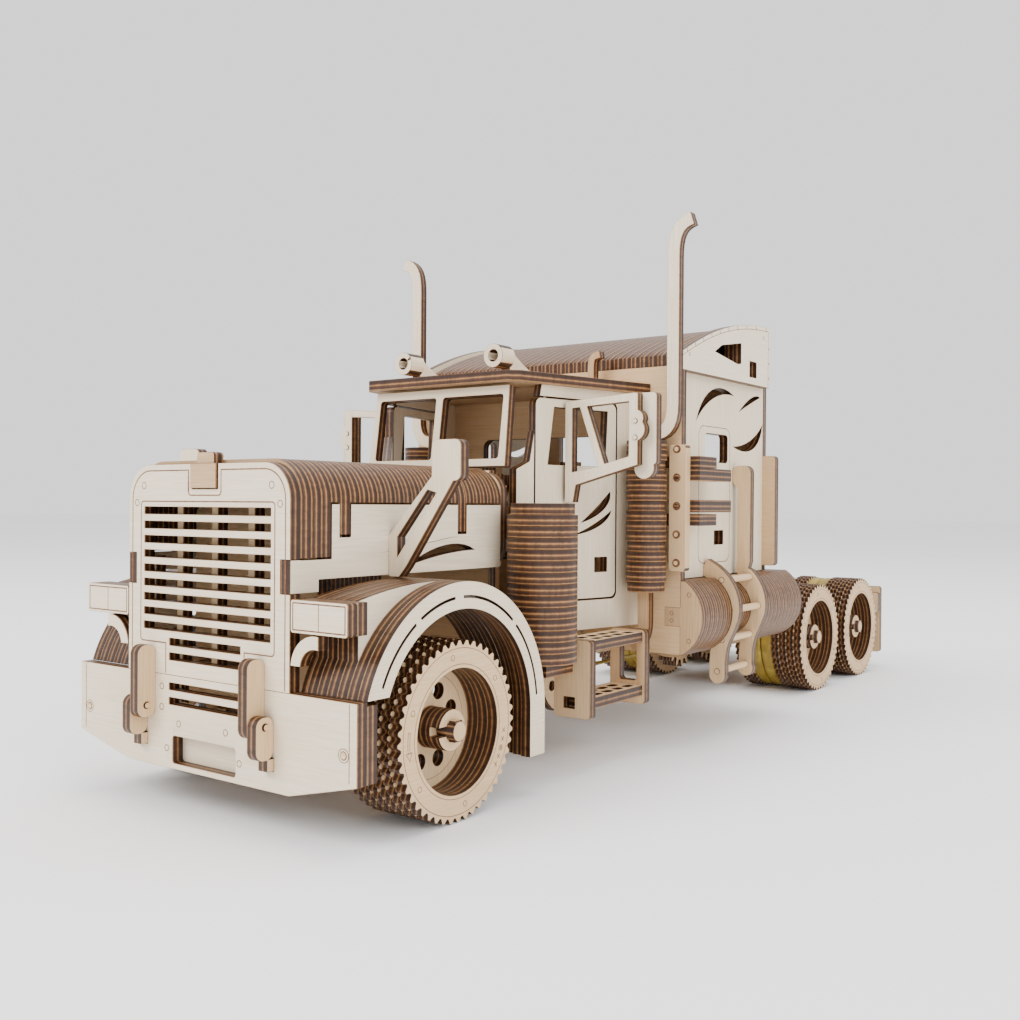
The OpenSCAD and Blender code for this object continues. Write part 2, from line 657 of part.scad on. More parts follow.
module exhaust_stacks() color("blanchedalmond") both() across(wall_y - ply, ply) polygon(strip(concat(
  curve([[muffler_x - 1, muffler_top + 2.3], [muffler_x + 4, muffler_top + 2.3],
    [stack_x, muffler_top + 4], [stack_x, muffler_top + 12]], 8),
  curve([[stack_x, stack_top - 14], [stack_x, stack_top - 7], [stack_x + 1.4, stack_top - 3.4],
    [stack_x + 6.6, stack_top - 2.2]], 8)), 4.3));

module tread2() difference() {
  box2(step_x0, fender_x - 0.8, step_y0 + ply, step_y1);
  for (x = [0:1], y = [0:3]) translate([step_x0 + 4 + x * 4.4, step_y0 + 8 + y * 6.2 + x * 2])
    round2(-1.3, 1.3, -2.2, 2.2, 1);
}

module step_boxes() color("bisque") both() {
  across(step_y0, ply - 0.02) difference() {
    round2(step_x0 - 0.5, fender_x, 16.6, 40, 1.2);
    box2(step_x0 + 3, step_x0 + 7, 19.4, 22.8);
  }
  across(step_y1 + 0.02, ply) difference() {
    round2(step_x0 - 0.5, fender_x, 16.6, 40.4, 1.4);
    round2(step_x0 + 3, fender_x - 3, 24, 36, 1);
  }
  for (z = [19.4, 36.4]) flat(z, ply) tread2();
  for (y = [step_y0 + 4, step_y0 + 12])
    translate([rail_x + ply, y, 30]) cube([step_x0 + 2 - rail_x - ply, 4, 6.6]);
}

tank_lams = floor((tank_y1 - wall_y - ply) / ply);

module tank_disc2(r = tank_r) difference() {
  disc2(tank_x, tank_z, r);
  box2(tank_x - tank_r - 1, tank_x + tank_r + 1, sleeper_sill - 0.2, sleeper_sill + 8);
}

module fuel_tanks() color("peru") both() {
  across(wall_y, ply - 0.02) {
    intersection() {
      tank_disc2();
      box2(sleeper_x, sleeper_x + 20, 20, 60);
    }
    box2(sleeper_x - 5.6, sleeper_x + 1, tank_z - 3.1, tank_z + 3.1);
  }
  for (i = [0:tank_lams - 1]) if (i != rail_slot[0] && i != rail_slot[1])
    across(wall_y + ply + lam_gap + i * ply, ply - lam_gap)
      tank_disc2(i > rail_slot[0] && i < rail_slot[1] ? tank_r - 3.4 : tank_r);
  for (y = [wall_y + 14, wall_y + 60])
    translate([rail_x + ply, y, 32]) cube([tank_x - tank_r + 0.5 - rail_x - ply, 3.2, 6]);
}

ladder_in = side_x + 0.1;

function rail_line(top) = concat(top,
  curve([[ladder_x - 9.6, 57], [ladder_x - 4, 53], [ladder_x - 2, 47], [ladder_x - 3.2, 42]], 8),
  curve([[ladder_x - 3.6, 41], [ladder_x - 5, 36], [ladder_x - 8.6, 34], [ladder_x - 8, 22]], 8));

rung_at = [[-6.6, 54.6], [-3.4, 44.4], [-6.4, 34], [-8, 23]];

module ladders() color("bisque") both() {
  across(ladder_y[0], ply - lam_gap) {
    difference() {
      polygon(strip(rail_line([[ladder_in, 59.2]]), 5.8));
      box2(side_x - 6, side_x, 50, 70);
    }
    disc2(ladder_x - 8, 21.6, 2.9);
    tank_disc2();
  }
  across(ladder_y[1], ply - lam_gap) {
    polygon(strip(rail_line([[ladder_in + 4.6, 92], [ladder_in + 4.5, 60]]), 5));
    disc2(ladder_x - 8, 21.6, 2.9);
    round2(ladder_in, ladder_in + 7, 87, 94.8, 2.4);
    tank_disc2();
  }
  for (r = rung_at) translate([ladder_x + r[0], ladder_y[0] + ply - lam_gap, r[1]]) rotate([-90, 0, 0])
    cylinder(h = ladder_y[1] - ladder_y[0] - ply + lam_gap, r = 1.2);
}

hood_mirror_y = axle_f - 4;

module hood_mirrors() color("cornsilk") both() across(hood_mirror_y, ply) difference() {
  union() {
    polygon([[hood_x + 0.2, 61.3], [hood_x + 3.6, 61.3], [hood_x + 6, 64], [53, 86], [46.4, 87.6],
      [hood_x, 72]]);
    round2(46, 55.4, 86, 96.4, 1.8);
  }
  polygon([[hood_x + 3, 66.4], [hood_x + 3, 71.6], [44.6, 83.8], [47.6, 83]]);
}

// --- steering ---
module front_axle_beam() color("tan") {
  translate([-kingpin_x, axle_f - 4, axle_z - ply]) cube([2 * kingpin_x, 8, 2 * ply - 0.2]);
  for (s = [-1, 1]) translate([s * kingpin_x, axle_f, axle_z]) {
    translate([0, 0, -ply]) cylinder(h = 2 * ply - 0.2, r = 4);
    translate([0, 0, -2.9 * ply]) cylinder(h = 5.8 * ply, r = kingpin_r);
  }
  for (s = [-1, 1]) along(s * (rail_x + ply / 2) - ply / 2, ply)
    box2(axle_f - 8, axle_f + 8, axle_z + ply - 0.2, rail_z0);
}

arm_x = 8;
arm_y = 14;
arm_pin = 1.2;
rod_z = axle_z - 2.1 * ply;
rod_slot = [-5.1, 3.4];

module knuckle() translate([kingpin_x, axle_f, axle_z]) {
  for (z = [ply + 0.1, -2.1 * ply]) translate([0, 0, z]) difference() {
    union() {
      cylinder(h = ply - 0.1, r = 4);
      translate([0, -4, 0]) cube([5.6, 8, ply - 0.1]);
    }
    translate([0, 0, -1]) cylinder(h = ply + 2, r = kingpin_r + pin_play);
  }
  translate([4.4, -4, -2.1 * ply]) cube([1.6, 8, 4.3 * ply]);
  translate([5, 0, 0]) rotate([0, 90, 0]) cylinder(h = fender_x - kingpin_x - 6.2, r = shaft_r);
  wedge(face_x - kingpin_x + barrel_l - 3 * ply + 0.2);
  translate([0, 0, -2.1 * ply]) linear_extrude(ply - 0.1) difference() {
    union() {
      polygon(strip([[-1.6, 3], [-4.6, 8], [-arm_x, arm_y]], 4.4));
      disc2(-arm_x, arm_y, 2.2);
    }
    circle(kingpin_r + pin_play);
  }
  translate([-arm_x, arm_y, -3.6 * ply]) cylinder(h = 1.6 * ply, r = arm_pin);
}

module knuckle_left() color("peru") knuckle();

module knuckle_right() color("peru") mirror([1, 0, 0]) knuckle();

// the pins of both arms run in slots, so the rod can move straight across
module tie_rod() color("burlywood") translate([0, axle_f + arm_y]) flat(rod_z - ply - 0.3) difference() {
  round2(-kingpin_x + arm_x - 4.2, kingpin_x - arm_x + 4.2, rod_slot[0] - 2.2, rod_slot[1] + 2.2, 2.4);
  for (s = [-1, 1]) translate([s * (kingpin_x - arm_x), 0])
    round2(-arm_pin - 0.7, arm_pin + 0.7, rod_slot[0], rod_slot[1], 1.8);
}

// --- wheels ---
tooth_h = 1.1;

// toothed ring that touches the ground with a tooth tip
module tread_lam2(turn, hole) difference() {
  polygon([for (i = [0:2 * tread_teeth - 1])
    (i % 2 == 0 ? wheel_r : wheel_r - tooth_h) * dir(-90 + (i + turn) * 180 / tread_teeth)]);
  circle(hole);
}

module disc_lam2(r) difference() {
  circle(r);
  for (i = [0:7]) rotate(22.5 + i * 45) translate([9.4, 0]) circle(2.15);
}

// wheel about its own axle, outer face at zero and the rest below it
module tyre(n) for (i = [0:n - 1]) translate([0, 0, -(i + 1) * ply])
  linear_extrude(ply - 0.02) tread_lam2(i % 2, rim_r);

// spoked disc and barrel of a wheel, turned outwards
module hub(hole) difference() {
  union() {
    translate([0, 0, -4 * ply]) linear_extrude(ply) disc_lam2(rim_r - 0.02);
    translate([0, 0, -3 * ply]) cylinder(h = barrel_l, r = barrel_r);
  }
  translate([0, 0, -5 * ply]) cylinder(h = 10 * ply, r = hole);
  translate([-1.2, -barrel_r - 1, barrel_l - 3 * ply - 3]) cube([2.4, 2 * barrel_r + 2, 4]);
}

// flat key through the end of a shaft, beyond the barrel
module wedge(x) translate([x, -1.5, -2.7]) cube([2, 3, 5.4]);

barrel_r = 5.3;
barrel_l = 7.6;
face_x = fender_x - 1.4;

module front_wheel() translate([face_x, axle_f, axle_z]) rotate([0, 90, 0]) {
  rotate(90) tyre(front_plies);
  hub(bore);
}

module front_wheel_left() color("tan") front_wheel();

module front_wheel_right() color("tan") mirror([1, 0, 0]) front_wheel();

rear_face = fender_x - 2.1;
rear_in = rear_face - rear_plies * ply;

module rear_set() both() translate([rear_face, 0, axle_z]) rotate([0, 90, 0]) rotate(90)
  for (i = [0:rear_plies - 1]) translate([0, 0, -(i + 1) * ply]) linear_extrude(ply - 0.02)
    if (i < 4 || i > 6) tread_lam2(i % 2, rim_r);
    else difference() {
      circle(wheel_r - 2.2);
      circle(rim_r);
    }

module rear_axle() {
  both() translate([rear_face, 0, axle_z]) rotate([0, 90, 0]) {
    hub(shaft_r);
    translate([0, 0, -rear_plies * ply]) linear_extrude(ply) difference() {
      disc_lam2(rim_r - 0.02);
      circle(shaft_r);
    }
  }
  translate([-rear_face + 0.2, 0, axle_z]) rotate([0, 90, 0]) cylinder(h = 2 * rear_face - 0.4, r = shaft_r);
  both() translate([0, 0, axle_z]) wedge(rear_face + barrel_l - 3 * ply);
}

// spur gear with involute flanks
function inv_point(rb, a) = rb * [cos(a) + a * PI / 180 * sin(a), sin(a) - a * PI / 180 * cos(a)];
function turn2(p, a) = [p[0] * cos(a) - p[1] * sin(a), p[0] * sin(a) + p[1] * cos(a)];

press_a = 20;
gear_pr = gear_module * gear_teeth / 2;
gear_rb = gear_pr * cos(press_a);
gear_tip = gear_pr + 0.85 * gear_module;
gear_root = gear_pr - 1.2 * gear_module;
flank_end = sqrt(pow(gear_tip / gear_rb, 2) - 1) * 180 / PI;
backlash_a = 1.1;
half_tooth = 90 / gear_teeth + tan(press_a) * 180 / PI - press_a - backlash_a;

function flank() = [for (k = [0:5]) turn2(inv_point(gear_rb, flank_end * k / 5), -half_tooth)];
function tooth() = let (f = flank()) concat([[gear_root * cos(half_tooth),
  -gear_root * sin(half_tooth)]], f,
  [for (k = [5:-1:0]) [f[k][0], -f[k][1]]], [[gear_root * cos(half_tooth), gear_root * sin(half_tooth)]]);

module gear2(turn) difference() {
  polygon([for (i = [0:gear_teeth - 1]) for (p = tooth()) turn2(p, turn + i * 360 / gear_teeth)]);
  for (i = [0:4]) rotate(i * 72) translate([gear_pr * 0.55, 0]) circle(gear_pr * 0.17);
}

gear_x = -2.5 * ply;

module gear(turn) along(gear_x, 2 * ply) translate([0, axle_z]) difference() {
  gear2(turn);
  circle(shaft_r);
}

module rear_axle_a() color("peru") translate([0, axle_a, 0]) {
  rear_axle();
  gear(180);
}

module rear_tyres_a() color("tan") translate([0, axle_a, 0]) rear_set();

module rear_axle_b() color("peru") translate([0, axle_b, 0]) rear_axle();

module rear_tyres_b() color("tan") translate([0, axle_b, 0]) rear_set();

module tyre_bands() both() for (k = [0:1])
  translate([rear_face - (5.5 + 1.5 * k) * ply + 0.1, 0, axle_z]) rotate([0, 90, 0]) difference() {
    cylinder(h = 1.5 * ply - 0.2, r = wheel_r - 0.6);
    translate([0, 0, -1]) cylinder(h = 2 * ply, r = wheel_r - 2.2);
  }

module tyre_bands_a() color("goldenrod") translate([0, axle_a, 0]) tyre_bands();

module tyre_bands_b() color("goldenrod") translate([0, axle_b, 0]) tyre_bands();

// --- rubber band motor ---
module motor_shaft() color("peru") translate([0, motor_y, 0]) {
  gear(gear_teeth % 2 == 0 ? 180 / gear_teeth : 0);
  translate([-rail_x - ply - 3, 0, axle_z]) rotate([0, 90, 0])
    cylinder(h = 2 * (rail_x + ply + 3), r = shaft_r);
  translate([2, 0, axle_z]) rotate([0, 90, 0]) difference() {
    cylinder(h = 8, r = 5);
    translate([0, 0, -1]) cylinder(h = 10, r = shaft_r);
  }
}

winder_x = rail_x + ply + 1;
winder_r = 12.4;

module winding_wheel() color("bisque") translate([0, winder_y, axle_z]) {
  translate([-winder_x - ply - 1, 0, 0]) rotate([0, 90, 0])
    cylinder(h = 2 * (winder_x + ply + 1), r = shaft_r);
  both() translate([winder_x, 0, 0]) rotate([0, 90, 0]) difference() {
    cylinder(h = ply, r = winder_r);
    translate([0, 0, -1]) cylinder(h = ply + 2, r = shaft_r);
    for (i = [0:7]) rotate([0, 0, 22.5 + i * 45]) translate([7.6, 0, -1]) cylinder(h = ply + 2, r = 1.7);
  }
  translate([2, 0, 0]) rotate([0, 90, 0]) difference() {
    cylinder(h = 8, r = 5);
    translate([0, 0, -1]) cylinder(h = 10, r = shaft_r);
  }
}

module motor_bands() color("darkkhaki") for (z = [axle_z - 3.6, axle_z + 2.4])
  translate([5, winder_y + 6, z]) cube([2, motor_y - winder_y - 12, 1.2]);

// --- back of the truck ---
module rear_deck() color("bisque") {
  flat(rail_z1, ply) difference() {
    union() {
      box2(-rail_x - ply, rail_x + ply, sleeper_y1 + ply + 3, back_y);
      box2(-31, 31, sleeper_y1 + ply, sleeper_y1 + ply + 14);
    }
    translate([0, fifth_y]) for (s = [-1, 1]) translate([s * 7, 0]) circle(2.4);
  }
  both() along(8.5, ply) difference() {
    polygon([[fifth_y - 10, rail_z1 + ply], [fifth_y + 10, rail_z1 + ply], [fifth_y + 4, fifth_z - 2],
      [fifth_y - 4, fifth_z - 2]]);
    disc2(fifth_y, fifth_z - 6, 1.6);
  }
  translate([-8.5 - ply, fifth_y, fifth_z - 6]) rotate([0, 90, 0]) cylinder(h = 17 + 2 * ply, r = 1.6);
  both() across(back_y - ply, ply - 0.02) round2(rail_x + ply, fender_x - 4, 27, 37, 1.2);
}

module fifth_wheel() color("burlywood") difference() {
  union() {
    flat(fifth_z, ply) translate([0, fifth_y]) difference() {
      circle(18);
      polygon([[-3.4, 2], [3.4, 2], [9, 19], [-9, 19]]);
      circle(3.4);
    }
    both() along(4.6) polygon([[fifth_y - 6, fifth_z], [fifth_y + 6, fifth_z],
      [fifth_y + 3.4, fifth_z - 9], [fifth_y - 3.4, fifth_z - 9]]);
  }
  translate([-20, fifth_y, fifth_z - 6]) rotate([0, 90, 0]) cylinder(h = 40, r = 1.6 + pin_play);
}

module mud_flaps() color("bisque") {
  both() across(back_y, ply - 0.4) round2(rear_in + 2, rear_face - 2, 7, 40, 1.4);
  across(back_y, ply) difference() {
    round2(-rail_x - ply, rail_x + ply, rail_z0, rail_z1 + ply, 1);
    disc2(0, 33, 3);
  }
  along(-ply / 2, ply) difference() {
    round2(back_y + ply, back_y + end_reach, 29, 37, 1);
    disc2(back_y + 4, 33, 0.6);
  }
}

chassis_rails();
cross_members();
front_bumper();
number_plate();
bumper_guards();
grille_surround();
grille_bars();
radiator_cap();
headlights();
fender_left();
fender_right();
hood_sides();
hood_cover();
engine_block();
firewall();
windshield_frame();
cab_sides();
door_left();
door_right();
door_mirror_left();
door_mirror_right();
cab_roof();
cab_floor();
seats();
dashboard();
steering_wheel();
roof_horns();
roof_hook();
sleeper_front_wall();
sleeper_sides();
sleeper_caps();
sleeper_roof();
sleeper_rear_wall();
sleeper_bunk();
post_rails();
air_cleaners();
mufflers();
exhaust_stacks();
step_boxes();
fuel_tanks();
ladders();
hood_mirrors();
front_axle_beam();
knuckle_left();
knuckle_right();
tie_rod();
front_wheel_left();
front_wheel_right();
rear_axle_a();
rear_tyres_a();
rear_axle_b();
rear_tyres_b();
tyre_bands_a();
tyre_bands_b();
motor_shaft();
winding_wheel();
motor_bands();
rear_deck();
fifth_wheel();
mud_flaps();
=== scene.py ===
import json
import math
import random

import bmesh
import bpy
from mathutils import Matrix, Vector


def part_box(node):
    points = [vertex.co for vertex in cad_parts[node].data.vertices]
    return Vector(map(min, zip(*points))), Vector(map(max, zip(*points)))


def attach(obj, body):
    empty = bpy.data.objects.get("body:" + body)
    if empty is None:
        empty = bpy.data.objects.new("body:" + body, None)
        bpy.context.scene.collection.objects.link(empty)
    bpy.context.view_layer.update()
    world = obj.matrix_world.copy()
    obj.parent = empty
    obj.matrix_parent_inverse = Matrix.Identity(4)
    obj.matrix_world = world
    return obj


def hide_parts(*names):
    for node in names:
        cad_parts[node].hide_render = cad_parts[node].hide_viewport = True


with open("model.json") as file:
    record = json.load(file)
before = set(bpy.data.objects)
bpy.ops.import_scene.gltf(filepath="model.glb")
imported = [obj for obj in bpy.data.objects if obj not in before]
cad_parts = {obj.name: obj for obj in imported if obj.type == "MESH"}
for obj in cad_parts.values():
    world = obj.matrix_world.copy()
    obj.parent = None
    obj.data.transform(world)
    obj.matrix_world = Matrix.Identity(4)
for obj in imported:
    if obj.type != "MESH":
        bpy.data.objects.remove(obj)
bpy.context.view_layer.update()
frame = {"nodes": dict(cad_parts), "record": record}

# ---------------------------------------------------------------- sizes
MM = 0.001
PLY = 3.3 * MM            # thickness of the plywood sheet
EDGE_BREAK = 0.09 * MM    # tiny bevel on every cut edge
LINE_W = 0.32 * MM        # width of an engraved line
LINE_RISE = 0.03 * MM     # how far a scorched line stands above the face
LINE_SINK = 0.06 * MM     # how far it reaches into the face
FINE_W = 0.2 * MM         # width of a thin engraved line
HAIR_W = 0.16 * MM        # width of the thinnest engraved line
TEETH = 48                # tread teeth of one sheet of a tyre
TOOTH_H = 1.25 * MM       # height of a tread tooth
RIM = 15.9 * MM           # radius inside a tyre
SHEET_GAP = 0.03 * MM     # gap between two sheets of a tyre
BAND_FLOOR = 2.2 * MM     # how far below the tread the rubber bands start
BAND_TOP = 0.6 * MM       # how far below the tread they end
BAND_W = 1.5 * PLY        # width of the seat of one band
BAND_GAP = 0.2 * MM
DISC_DEPTH = 3 * PLY      # how far the spoked disc lies behind a tyre's face

record = frame["record"]
SLOT = {p["node"]: p["material_slot"] for p in record["subparts"]}
BODY = {n: b for b, nodes in record["behaviour"]["bodies"].items() for n in nodes}

FRONT_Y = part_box("grille_surround")[0][1]
WALL_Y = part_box("sleeper_front_wall")[0][1]
SLEEPER_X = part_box("sleeper_front_wall")[1][0]
HOOD_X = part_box("grille_surround")[1][0]
GRILLE_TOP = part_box("grille_surround")[1][2]
BUMPER_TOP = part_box("front_bumper")[1][2]
BUMPER_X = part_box("front_bumper")[1][0]
AXLE_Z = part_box("rear_tyres_a")[1][2] / 2


def middle_y(node):
    """Y in the middle of a node."""
    low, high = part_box(node)
    return (low[1] + high[1]) / 2


# ---------------------------------------------------------------- materials
def new_material(name):
    """A material with its principled shader, node maker and linker."""
    mat = bpy.data.materials.new(name)
    mat.use_nodes = True
    tree = mat.node_tree

    def make(kind, **values):
        node = tree.nodes.new(kind)
        for key, value in values.items():
            if hasattr(node, key):
                setattr(node, key, value)
            else:
                node.inputs[key].default_value = value
        return node

    return mat, tree.nodes["Principled BSDF"], make, tree.links.new


def ramp(make, stops, interpolation="LINEAR"):
    """A colour ramp with the given (position, colour) stops."""
    node = make("ShaderNodeValToRGB")
    band = node.color_ramp
    band.interpolation = interpolation
    while len(band.elements) < len(stops):
        band.elements.new(0.5)
    for element, (place, colour) in zip(band.elements, stops):
        element.position = place
        element.color = (*colour, 1)
    return node


def mix(make, link, kind, factor, a, b):
    """A colour mix; each of factor, a and b is a socket or a value."""
    node = make("ShaderNodeMix", data_type="RGBA", blend_type=kind)
    for index, value in ((0, factor), (6, a), (7, b)):
        if isinstance(value, bpy.types.NodeSocket):
            link(value, node.inputs[index])
        else:
            node.inputs[index].default_value = value
    return node.outputs[2]


def plywood(name, pale, streak, warm, burn=1.0):
    """Laser-cut plywood: grained faces, and scorched cut edges that show the plies."""
    mat, shader, make, link = new_material(name)
    sheet = make("ShaderNodeAttribute", attribute_name="sheet").outputs["Vector"]
    burnt = make("ShaderNodeAttribute", attribute_name="burnt").outputs["Fac"]
    tint = make("ShaderNodeAttribute", attribute_name="tint").outputs["Fac"]

    def scaled(size):
        node = make("ShaderNodeMapping", Scale=size)
        link(sheet, node.inputs["Vector"])
        return node.outputs["Vector"]

    def noise(size, detail, rough, distortion=0.0):
        node = make("ShaderNodeTexNoise", Scale=1.0, Detail=detail, Roughness=rough,
                    Distortion=distortion)
        link(scaled(size), node.inputs["Vector"])
        return node.outputs["Fac"]

    # faces: fine streaks, wide growth bands, short pores and a tone of its own for each sheet
    fine = noise((70, 1900, 0), 5, 0.62)
    bands = noise((16, 260, 0), 3, 0.5, 0.6)
    pores = noise((420, 5200, 0), 2, 0.5)
    fine_tone = ramp(make, [(0.36, (0, 0, 0)), (0.66, (1, 1, 1))])
    link(fine, fine_tone.inputs[0])
    band_tone = ramp(make, [(0.40, (0, 0, 0)), (0.62, (1, 1, 1))])
    link(bands, band_tone.inputs[0])
    pore_tone = ramp(make, [(0.66, (0, 0, 0)), (0.76, (0.55, 0.55, 0.55))])
    link(pores, pore_tone.inputs[0])
    face = mix(make, link, "MIX", fine_tone.outputs[0], (*streak, 1), (*pale, 1))
    band_share = mix(make, link, "MULTIPLY", 1.0, band_tone.outputs[0], (0.45, 0.45, 0.45, 1))
    face = mix(make, link, "MIX", band_share, face, (*warm, 1))
    face = mix(make, link, "MULTIPLY", pore_tone.outputs[0], face, (0.82, 0.68, 0.50, 1))
    tone = ramp(make, [(0.0, (0.90, 0.88, 0.85)), (0.5, (0.97, 0.965, 0.955)),
                       (1.0, (1.0, 1.0, 1.0))])
    link(tint, tone.inputs[0])
    face = mix(make, link, "MULTIPLY", 1.0, face, tone.outputs[0])

    # cut edges: three plies, with smoke streaks through the thickness
    parts = make("ShaderNodeSeparateXYZ")
    link(sheet, parts.inputs[0])
    waver = make("ShaderNodeMath", operation="MULTIPLY_ADD")
    link(noise((900, 900, 0), 2, 0.5), waver.inputs[0])
    waver.inputs[1].default_value = 0.06
    link(parts.outputs["Z"], waver.inputs[2])
    depth = make("ShaderNodeMath", operation="FRACT")
    link(waver.outputs[0], depth.inputs[0])
    dark = (0.030 * burn, 0.012 * burn, 0.006 * burn)
    brown = (0.082 * burn, 0.034 * burn, 0.014 * burn)
    amber = (0.340 * burn, 0.175 * burn, 0.068 * burn)
    plies = ramp(make, [(0.00, brown), (0.07, amber), (0.14, brown), (0.22, dark), (0.42, brown),
                        (0.53, amber), (0.62, brown), (0.72, dark), (0.92, dark), (1.00, brown)])
    link(depth.outputs[0], plies.inputs[0])
    smoke = ramp(make, [(0.30, (0.62, 0.58, 0.55)), (0.55, (0.98, 0.95, 0.92)),
                        (0.78, (1.30, 1.22, 1.12))])
    link(noise((820, 820, 0.5), 3, 0.6), smoke.inputs[0])
    edge = mix(make, link, "MULTIPLY", 1.0, plies.outputs[0], smoke.outputs[0])

    link(mix(make, link, "MIX", burnt, face, edge), shader.inputs["Base Color"])
    rough = make("ShaderNodeMapRange")
    link(burnt, rough.inputs[0])
    rough.inputs["To Min"].default_value = 0.62
    rough.inputs["To Max"].default_value = 0.42
    link(rough.outputs[0], shader.inputs["Roughness"])
    bump = make("ShaderNodeBump", Strength=0.35, Distance=0.00006)
    link(fine, bump.inputs["Height"])
    link(bump.outputs[0], shader.inputs["Normal"])
    shader.inputs["Specular IOR Level"].default_value = 0.35
    return mat


def scorched():
    """Lines and rings that the laser drew on the face."""
    mat, shader, make, link = new_material("scorched_line")
    place = make("ShaderNodeTexCoord").outputs["Object"]
    soot = make("ShaderNodeTexNoise", Scale=900.0, Detail=3.0, Roughness=0.6)
    link(place, soot.inputs["Vector"])
    tone = ramp(make, [(0.35, (0.085, 0.032, 0.014)), (0.70, (0.26, 0.115, 0.045))])
    link(soot.outputs["Fac"], tone.inputs[0])
    link(tone.outputs[0], shader.inputs["Base Color"])
    bump = make("ShaderNodeBump", Strength=0.3, Distance=0.00005)
    link(soot.outputs["Fac"], bump.inputs["Height"])
    link(bump.outputs[0], shader.inputs["Normal"])
    shader.inputs["Roughness"].default_value = 0.7
    return mat


def dowel_wood():
    """End grain and turned sides of the small pale pins."""
    mat, shader, make, link = new_material("dowel_wood")
    place = make("ShaderNodeTexCoord").outputs["Object"]
    grain = make("ShaderNodeTexNoise", Scale=1400.0, Detail=4.0, Roughness=0.6)
    link(place, grain.inputs["Vector"])
    tone = ramp(make, [(0.30, (0.50, 0.31, 0.15)), (0.50, (0.74, 0.53, 0.31)),
                       (0.75, (0.86, 0.68, 0.46))])
    link(grain.outputs["Fac"], tone.inputs[0])
    link(tone.outputs[0], shader.inputs["Base Color"])
    bump = make("ShaderNodeBump", Strength=0.4, Distance=0.00008)
    link(grain.outputs["Fac"], bump.inputs["Height"])
    link(bump.outputs[0], shader.inputs["Normal"])
    shader.inputs["Roughness"].default_value = 0.55
    return mat


def rubber():
    """Plain natural rubber with a dusty bloom."""
    mat, shader, make, link = new_material("natural_rubber")
    place = make("ShaderNodeTexCoord").outputs["Object"]
    bloom = make("ShaderNodeTexNoise", Scale=260.0, Detail=5.0, Roughness=0.55)
    link(place, bloom.inputs["Vector"])
    tone = ramp(make, [(0.30, (0.20, 0.13, 0.010)), (0.55, (0.33, 0.22, 0.020)),
                       (0.80, (0.45, 0.33, 0.06))])
    link(bloom.outputs["Fac"], tone.inputs[0])
    link(tone.outputs[0], shader.inputs["Base Color"])
    bump = make("ShaderNodeBump", Strength=0.25, Distance=0.0001)
    link(bloom.outputs["Fac"], bump.inputs["Height"])
    link(bump.outputs[0], shader.inputs["Normal"])
    shader.inputs["Roughness"].default_value = 0.48
    return mat


MATERIAL = {
    "pale_plywood": plywood("pale_plywood", pale=(0.86, 0.76, 0.61), streak=(0.76, 0.63, 0.46),
                            warm=(0.80, 0.66, 0.47)),
    "tan_plywood": plywood("tan_plywood", pale=(0.74, 0.53, 0.32), streak=(0.62, 0.42, 0.23),
                           warm=(0.66, 0.43, 0.23)),
    "burnt_plywood": plywood("burnt_plywood", pale=(0.60, 0.42, 0.25), streak=(0.47, 0.30, 0.16),
                             warm=(0.50, 0.31, 0.16), burn=1.25),
    "rubber_band": rubber(),
    "line": scorched(),
    "dowel": dowel_wood(),
}


# ---------------------------------------------------------------- pieces
def islands(bm):
    """Lists of the faces that hang together, in the order of the mesh."""
    for face in bm.faces:
        face.tag = False
    groups = []
    for start in bm.faces:
        if start.tag:
            continue
        start.tag = True
        group, front = [start], [start]
        while front:
            face = front.pop()
            for edge in face.edges:
                for other in edge.link_faces:
                    if not other.tag:
                        other.tag = True
                        group.append(other)
                        front.append(other)
        groups.append(group)
    return groups


def thin_axis(faces):
    """The direction that most of the area faces, which is through the sheet."""
    sums = {}
    for face in faces:
        n = face.normal.copy()
        if max(n, key=abs) < 0:
            n.negate()
        key = tuple(round(c, 1) for c in n)
        total = sums.setdefault(key, [0.0, Vector()])
        total[0] += face.calc_area()
        total[1] += n * face.calc_area()
    return max(sums.values(), key=lambda t: t[0])[1].normalized()


def extent(points, direction):
    """Lowest and highest place of the points along a direction."""
    along = [p.dot(direction) for p in points]
    return min(along), max(along)


def describe_sheets(bm, seed):
    """Writes on every face where it lies in its sheet, and whether the laser cut it."""
    rng = random.Random(seed)
    where = bm.loops.layers.float_vector.new("sheet")
    burnt = bm.faces.layers.float.new("burnt")
    tint = bm.faces.layers.float.new("tint")
    for faces in islands(bm):
        axis = thin_axis(faces)
        across = axis.cross(Vector((0, 0, 1) if abs(axis.z) < 0.8 else (1, 0, 0))).normalized()
        along = axis.cross(across)
        points = [v.co for face in faces for v in face.verts]
        bottom = extent(points, axis)[0]
        spans = [extent(points, d) for d in (along, across)]
        if spans[0][1] - spans[0][0] < spans[1][1] - spans[1][0]:
            along, across = across, along
        shift = Vector((rng.uniform(0, 3), rng.uniform(0, 3), 0))
        tone = rng.random()
        for face in faces:
            n = face.normal
            cut = 0.0
            if abs(n.dot(axis)) < 0.8:
                corners = [v.co for v in face.verts]
                high = extent(corners, axis)
                long = extent(corners, n.cross(axis).normalized())
                tall = high[1] - high[0]
                rod = tall > 4 * PLY
                panel = tall > 1.35 * PLY and long[1] - long[0] > 1.35 * PLY
                cut = 0.0 if rod or panel else 1.0
            face[burnt] = cut
            face[tint] = tone
            for loop in face.loops:
                p = loop.vert.co
                loop[where] = Vector((p.dot(along), p.dot(across), (p.dot(axis) - bottom) / PLY)) + shift


